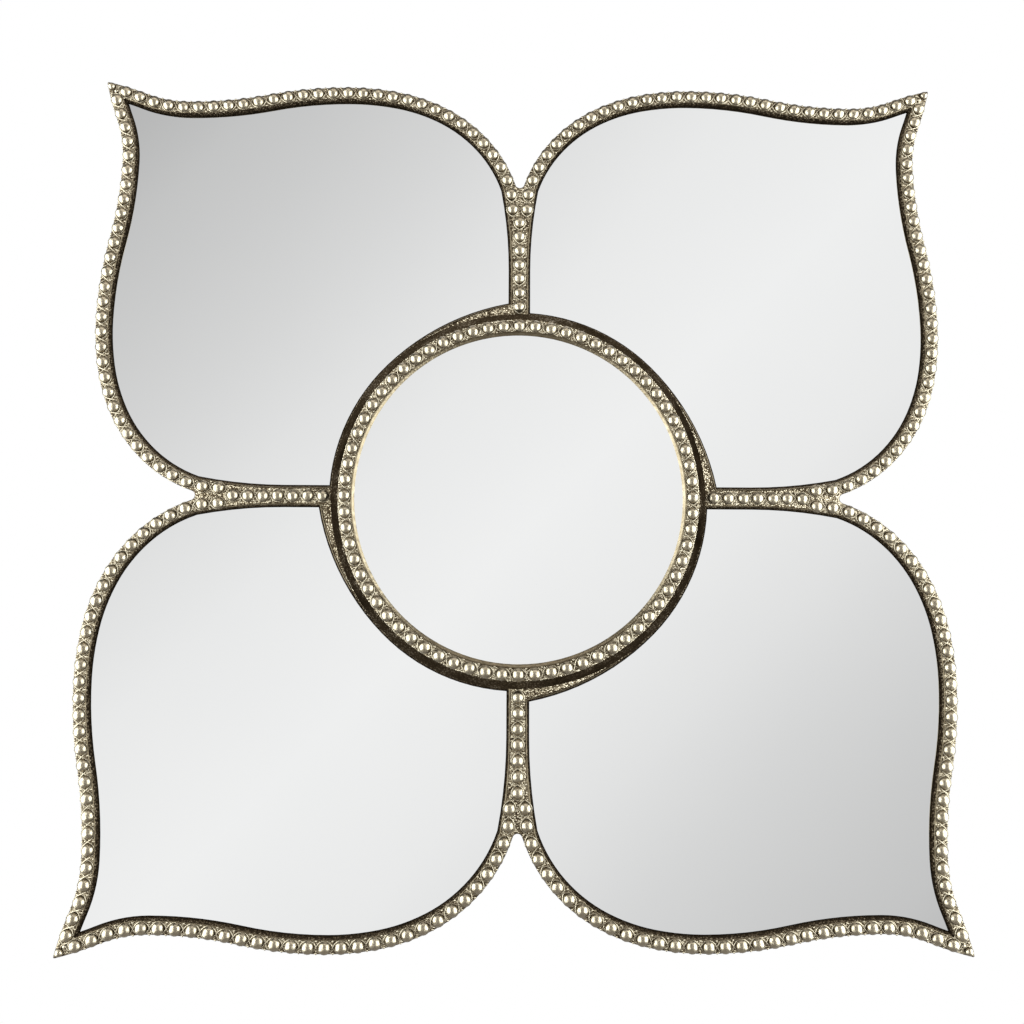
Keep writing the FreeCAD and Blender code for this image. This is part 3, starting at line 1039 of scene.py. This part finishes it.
def makeRing(side):
    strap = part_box("hanger_strap_" + side)
    hinge = Vector(((strap[0].x + strap[1].x) / 2, strap[1].y - hanger["loopRadius"],
                    strap[1].z - hanger["loopRadius"]))
    wide, drop = hanger["halfWidth"], hanger["drop"]
    corners = [Vector((-wide, 0, 0)), Vector((wide, 0, 0)),
               Vector((wide, 0, -drop)), Vector((-wide, 0, -drop))]
    path = roundedLoop(corners, [hanger["upperRound"]] * 2 + [hanger["lowerRound"]] * 2)
    lean = Matrix.Translation(hinge) @ Matrix.Rotation(hanger["lean"], 4, "X")
    curve = bpy.data.curves.new("wire", "CURVE")
    curve.dimensions = "3D"
    curve.bevel_depth = hanger["wire"]
    curve.bevel_resolution = hanger["roundness"]
    spline = curve.splines.new("POLY")
    spline.points.add(len(path) - 1)
    for item, place in zip(spline.points, path):
        item.co = (*(lean @ place), 1.0)
    spline.use_cyclic_u = True
    piece = bpy.data.objects.new("wire", curve)
    bpy.context.scene.collection.objects.link(piece)
    makeActive(piece)
    bpy.ops.object.convert(target="MESH")
    piece = bpy.context.object
    piece.name = "hanger_ring_" + side + "_wire"
    bpy.ops.object.shade_smooth()
    onlyMaterial(piece, zincSteel)
    finishPiece(piece, "ring_" + side, "steel", "hanger_ring_" + side)


def makeStrap(side):
    piece = copyOfNode("hanger_strap_" + side, "hanger_strap_" + side + "_pressed")
    bevelWhere(piece, isSharp, hanger["strapRound"])
    onlyMaterial(piece, zincSteel)
    smooth(piece, angle=35)
    finishPiece(piece, "frame", "steel", "hanger_strap_" + side)


for side in ("left", "right"):
    makeRing(side)
    makeStrap(side)


bumper = {
    "sides": 32,
    "tiers": [(0.0050, 0.0), (0.0050, 0.0009), (0.0046, 0.0044), (0.0042, 0.0055),
              (0.0036, 0.0060)],
}


def makeBumper(petal):
    low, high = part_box("wall_bumper_" + petal)
    centre = ((low.x + high.x) / 2, low.y, (low.z + high.z) / 2)
    piece = raiseTiers(bumper["sides"], bumper["tiers"], way=1, centre=centre)
    piece.name = "wall_bumper_" + petal + "_turned"
    onlyMaterial(piece, softRubber)
    smooth(piece, angle=40)
    finishPiece(piece, "frame", "rubber", "wall_bumper_" + petal)


for petal in petals:
    makeBumper(petal)

pointRound = 0.00015
points = copyOfNode("glazing_points", "glazing_points_cut")
bevelWhere(points, isSharp, pointRound, segments=1)
onlyMaterial(points, zincSteel)
finishPiece(points, "frame", "steel", "glazing_points")
print("hangers, screws and bumpers made")


view = {
    "place": (-0.0217, -1.0244, -0.0650),
    "turn": (7.33, -0.84, 0.32),    # degrees, as one turn about that axis
    "lens": 33.4,
    "shiftY": -0.0732,
}


def makeCamera():
    data = bpy.data.cameras.new("photoCamera")
    camera = bpy.data.objects.new("photoCamera", data)
    bpy.context.scene.collection.objects.link(camera)
    turn = Vector([math.radians(part) for part in view["turn"]])
    upright = Euler((math.pi / 2, 0, 0)).to_matrix()
    rotation = upright @ Matrix.Rotation(turn.length, 3, turn.normalized())
    camera.matrix_world = Matrix.Translation(view["place"]) @ rotation.to_4x4()
    data.lens = view["lens"]
    data.sensor_width = 36.0
    data.shift_y = view["shiftY"]
    data.clip_start = 0.05
    bpy.context.scene.camera = camera


# the two sides are bright cards that only the pressed silver shows
softboxes = [
    {"name": "cardLeft", "place": (-1.80, -0.82, -0.20), "size": (2.20, 3.40), "power": 245.0,
     "card": True, "colour": (0.84, 0.93, 1.0)},
    {"name": "cardRight", "place": (1.80, -0.82, -0.20), "size": (2.20, 3.40), "power": 245.0,
     "card": True, "colour": (0.84, 0.93, 1.0)},
    {"name": "softboxTop", "place": (0.00, -1.10, 1.75), "size": (1.80, 1.00), "power": 16.0},
    {"name": "softboxBack", "place": (0.50, 1.80, 0.90), "size": (1.60, 1.20), "power": 22.0},
]


def makeSoftbox(box):
    data = bpy.data.lights.new(box["name"], "AREA")
    data.shape = "RECTANGLE"
    data.size, data.size_y = box["size"]
    data.energy = box["power"]
    data.color = box.get("colour", (1, 1, 1))
    lamp = bpy.data.objects.new(box["name"], data)
    bpy.context.scene.collection.objects.link(lamp)
    lamp.location = box["place"]
    lamp.rotation_euler = (-Vector(box["place"])).to_track_quat("-Z", "Y").to_euler()
    lamp.visible_camera = False
    if box.get("card"):
        lamp.visible_diffuse = False
        lamp.light_linking.receiver_collection = polished


room = {
    "fill": 0.50,
    # what the glass shows, by how far a direction leans off the bright diagonal of the room
    "shades": [(0.00, 0.928), (0.15, 0.877), (0.24, 0.810), (0.33, 0.715), (0.41, 0.642),
               (0.47, 0.594), (0.52, 0.522), (0.75, 0.300)],
    "sideShade": 0.45,
    "sideFrom": 0.45,           # how far forward a direction points where the side shade ends
    "sideTo": 0.80,
}
mixFirst, mixSecond, mixResult = 6, 7, 2      # colour sockets of a Mix node


def makeWorld():
    world = bpy.data.worlds.new("studio")
    bpy.context.scene.world = world
    world.use_nodes = True
    tree = world.node_tree
    background = tree.nodes["Background"]
    direction = addNode(tree, "ShaderNodeTexCoord").outputs["Generated"]
    parts = addNode(tree, "ShaderNodeSeparateXYZ", {"Vector": direction})
    lean = mathOf(tree, "SUBTRACT", parts.outputs["Z"], parts.outputs["X"])
    lean = mathOf(tree, "ABSOLUTE", mathOf(tree, "MULTIPLY", lean, math.sqrt(0.5)))
    shade = colourRamp(tree, lean, [(place, grey(value)) for place, value in room["shades"]])
    ahead = mathOf(tree, "MULTIPLY", parts.outputs["Y"], -1.0)
    side = addNode(tree, "ShaderNodeMapRange", {"Value": ahead, "From Min": room["sideFrom"],
                                                "From Max": room["sideTo"],
                                                "To Min": room["sideShade"], "To Max": 1.0})
    glossy = addNode(tree, "ShaderNodeVectorMath", {0: shade}, operation="SCALE")
    tree.links.new(side.outputs["Result"], glossy.inputs["Scale"])
    path = addNode(tree, "ShaderNodeLightPath").outputs
    seen = addNode(tree, "ShaderNodeMix", {"Factor": path["Is Glossy Ray"]}, data_type="RGBA")
    seen.inputs[mixFirst].default_value = (*grey(room["fill"]), 1.0)
    tree.links.new(glossy.outputs["Vector"], seen.inputs[mixSecond])
    shown = mathOf(tree, "MAXIMUM", path["Is Camera Ray"], path["Is Transmission Ray"])
    final = addNode(tree, "ShaderNodeMix", {"Factor": shown}, data_type="RGBA")
    tree.links.new(seen.outputs[mixResult], final.inputs[mixFirst])
    final.inputs[mixSecond].default_value = (1.0, 1.0, 1.0, 1.0)
    tree.links.new(final.outputs[mixResult], background.inputs["Color"])
    background.inputs["Strength"].default_value = 1.0


floorSettings = {
    "height": -1.20,
    "reach": 1.30,
    "rough": 0.6,
    "cloudsPerMetre": 3,
    "stops": [(0.3, grey(0.80)), (0.7, grey(0.84))],
}


def makeFloor():
    # plain pale floor, below the photo's view of a hung mirror
    deselectAll()
    bpy.ops.mesh.primitive_plane_add(size=2 * floorSettings["reach"],
                                     location=(0, 0, floorSettings["height"]))
    floor = bpy.context.object
    floor.name = "paleFloor"
    material, tree, shader = newMaterial("paleFloor", Roughness=floorSettings["rough"])
    clouds = noiseOf(tree, objectCoords(tree), floorSettings["cloudsPerMetre"])
    link(tree, colourRamp(tree, clouds, floorSettings["stops"]), shader, "Base Color")
    floor.data.materials.append(material)


makeCamera()
for box in softboxes:
    makeSoftbox(box)
makeWorld()
makeFloor()
bpy.context.scene.view_settings.view_transform = "Standard"
print("camera, light and floor made")
